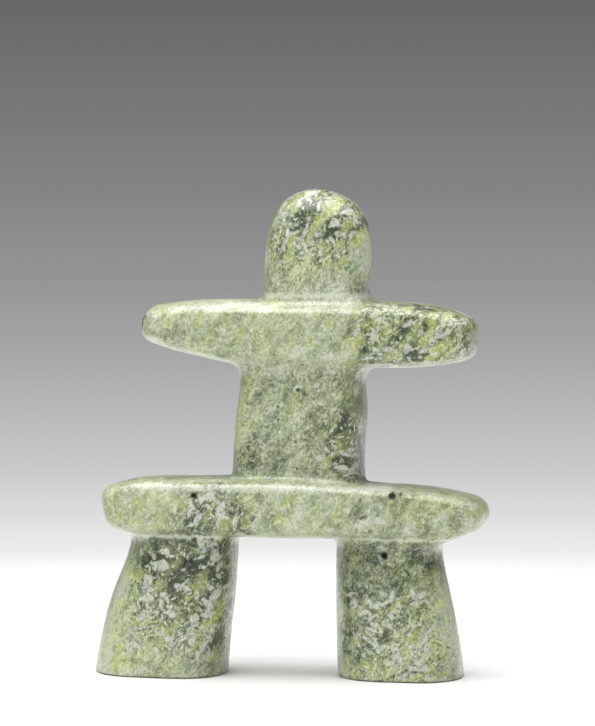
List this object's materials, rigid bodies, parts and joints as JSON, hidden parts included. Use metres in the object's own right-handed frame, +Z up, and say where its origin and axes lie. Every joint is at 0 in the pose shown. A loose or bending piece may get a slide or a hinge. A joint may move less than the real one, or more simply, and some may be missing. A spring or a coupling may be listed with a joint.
{
  "type": "inukshuk stone sculpture",
  "caption": "Polished green serpentine inukshuk carved in one piece: two legs, a hip stone, a torso, an arm stone and a rounded head, standing on two flat feet.",
  "frame": {"origin": "on the surface the feet stand on, in the middle of the sculpture's bounding box seen from above", "axes": "+Z up, -Y out of the front face, +X along the arms towards the viewer's right"},
  "size_m": [0.1464, 0.05, 0.1795],
  "materials": {
    "serpentine": "polished mottled green serpentine: yellow-green lenses, pale angular chips and dark green seams, stone and not plastic"
  },
  "bodies": {
    "root": {"inukshuk": "serpentine"}
  },
  "joints": []
}
